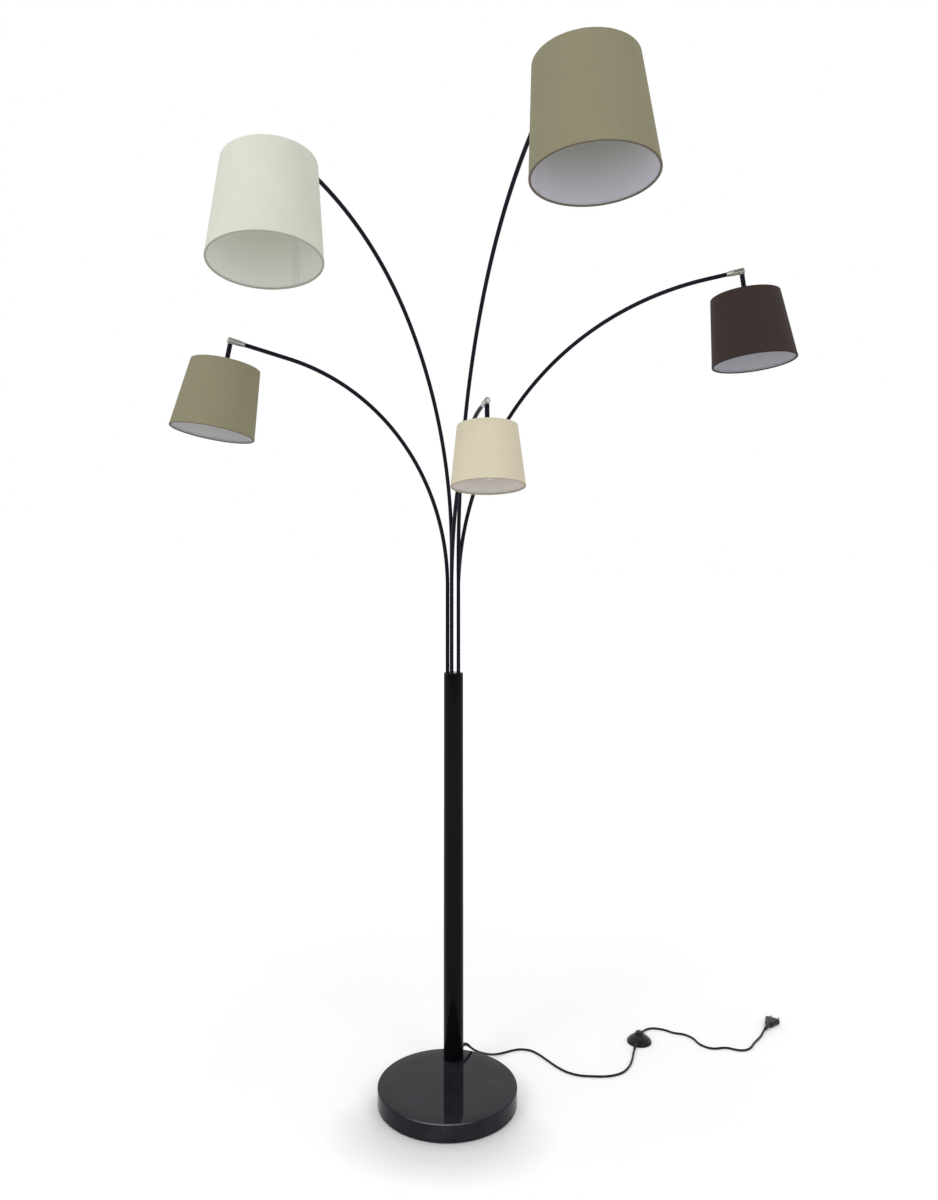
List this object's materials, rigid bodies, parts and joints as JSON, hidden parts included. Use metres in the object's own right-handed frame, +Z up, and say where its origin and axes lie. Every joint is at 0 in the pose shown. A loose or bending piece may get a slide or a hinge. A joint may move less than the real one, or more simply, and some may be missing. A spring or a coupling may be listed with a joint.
{
  "type": "multi-arm arc floor lamp",
  "caption": "Floor lamp: an upright pole on a round stone foot, from which thin tubes arch out in a fan, each with a conical cloth shade; cord with foot switch and plug.",
  "frame": {"origin": "middle of the felt's underside, under the centre of the stone disc", "axes": "+Z up; the pole stands behind the middle on +Y; +X to the lamp's right as seen from the side that the arms lean to (-Y is the front)"},
  "size_m": [1.3155, 1.2144, 2.0384],
  "materials": {
    "polished_stone": "polished black granite",
    "felt": "felt",
    "bright_steel": "bare steel",
    "black_lacquer": "glossy black lacquer on steel",
    "brushed_nickel": "satin nickel plate",
    "black_plastic": "black moulded plastic",
    "matte_black_plastic": "black moulded plastic, matt",
    "white_plastic": "white moulded plastic",
    "white_wire": "white enamelled steel wire",
    "olive_cloth": "olive cotton on a white lining",
    "brown_cloth": "dark brown cotton on a white lining",
    "cream_cloth": "cream cotton on a white lining",
    "ivory_cloth": "ivory cotton on a white lining",
    "opal_bulb": "opal LED globe",
    "cord_sheath": "round black flex"
  },
  "bodies": {
    "stand": {"base_stone": "polished_stone", "base_felt": "felt", "tie_bolt": "bright_steel", "tie_washer": "bright_steel", "pole_foot_plug": "bright_steel", "pole_tube": "black_lacquer", "pole_cap": "black_lacquer", "cord_gland": "matte_black_plastic", "lead_connector": "white_plastic", "switch_plate": "matte_black_plastic", "switch_cover": "black_plastic", "switch_spring": "bright_steel", "cord_to_switch": "cord_sheath", "cord_to_plug": "cord_sheath", "plug_body": "black_plastic", "plug_pins": "bright_steel"},
    "arm_of_low_left": {"arm_low_left": "black_lacquer"},
    "head_of_low_left": {"elbow_low_left": "brushed_nickel", "stem_low_left": "black_lacquer", "holder_low_left": "black_plastic", "clamp_ring_low_left": "black_plastic", "wire_frame_low_left": "white_wire", "shade_low_left": "olive_cloth", "bulb_low_left": "opal_bulb"},
    "arm_of_low_right": {"arm_low_right": "black_lacquer"},
    "head_of_low_right": {"elbow_low_right": "brushed_nickel", "stem_low_right": "black_lacquer", "holder_low_right": "black_plastic", "clamp_ring_low_right": "black_plastic", "wire_frame_low_right": "white_wire", "shade_low_right": "brown_cloth", "bulb_low_right": "opal_bulb"},
    "arm_of_front": {"arm_front": "black_lacquer"},
    "head_of_front": {"elbow_front": "brushed_nickel", "stem_front": "black_lacquer", "holder_front": "black_plastic", "clamp_ring_front": "black_plastic", "wire_frame_front": "white_wire", "shade_front": "cream_cloth", "bulb_front": "opal_bulb"},
    "arm_of_high_left": {"arm_high_left": "black_lacquer"},
    "head_of_high_left": {"elbow_high_left": "brushed_nickel", "stem_high_left": "black_lacquer", "holder_high_left": "black_plastic", "clamp_ring_high_left": "black_plastic", "wire_frame_high_left": "white_wire", "shade_high_left": "ivory_cloth", "bulb_high_left": "opal_bulb"},
    "arm_of_high_right": {"arm_high_right": "black_lacquer"},
    "head_of_high_right": {"elbow_high_right": "brushed_nickel", "stem_high_right": "black_lacquer", "holder_high_right": "black_plastic", "clamp_ring_high_right": "black_plastic", "wire_frame_high_right": "white_wire", "shade_high_right": "olive_cloth", "bulb_high_right": "opal_bulb"},
    "button": {"switch_button": "black_plastic"}
  },
  "joints": [
    {"name": "turn_low_left", "type": "hinge", "parent": "stand", "child": "arm_of_low_left", "pos_m": [-0.0139, 0.10979, 0.88], "axis": [0, 0, 1], "range_deg": [-30, 30]},
    {"name": "swing_low_left", "type": "hinge", "parent": "arm_of_low_left", "child": "head_of_low_left", "pos_m": [-0.41928, -0.23644, 1.61487], "axis": [-0.7464, -0.6375, 0.1908], "range_deg": [-30, 30]},
    {"name": "turn_low_right", "type": "hinge", "parent": "stand", "child": "arm_of_low_right", "pos_m": [0.01024, 0.12105, 0.88], "axis": [0, 0, 1], "range_deg": [-25, 30]},
    {"name": "swing_low_right", "type": "hinge", "parent": "arm_of_low_right", "child": "head_of_low_right", "pos_m": [0.62841, -0.09181, 1.76476], "axis": [0.9385, -0.3231, 0.1219], "range_deg": [-30, 30]},
    {"name": "turn_front", "type": "hinge", "parent": "stand", "child": "arm_of_front", "pos_m": [-0.00267, 0.09776, 0.88], "axis": [0, 0, 1], "range_deg": [-30, 30]},
    {"name": "swing_front", "type": "hinge", "parent": "arm_of_front", "child": "head_of_front", "pos_m": [0.10413, -0.18789, 1.48877], "axis": [0.3449, -0.9224, 0.1736], "range_deg": [-30, 30]},
    {"name": "turn_high_left", "type": "hinge", "parent": "stand", "child": "arm_of_high_left", "pos_m": [-0.00592, 0.12419, 0.88], "axis": [0, 0, 1], "range_deg": [-30, 30]},
    {"name": "swing_high_left", "type": "hinge", "parent": "arm_of_high_left", "child": "head_of_high_left", "pos_m": [-0.27348, -0.4496, 1.94509], "axis": [-0.4141, -0.8881, 0.1994], "range_deg": [-30, 30]},
    {"name": "turn_high_right", "type": "hinge", "parent": "stand", "child": "arm_of_high_right", "pos_m": [0.01225, 0.10471, 0.88], "axis": [0, 0, 1], "range_deg": [-30, 30]},
    {"name": "swing_high_right", "type": "hinge", "parent": "arm_of_high_right", "child": "head_of_high_right", "pos_m": [0.29945, -0.60614, 2.03109], "axis": [0.37, -0.9158, 0.1564], "range_deg": [-30, 30]},
    {"name": "press_button", "type": "slide", "parent": "stand", "child": "button", "axis": [0, 0, 1], "range_m": [-0.003, 0], "stiffness_N_per_m": 600, "springref_m": 0.003, "deforming": ["switch_spring"]}
  ]
}
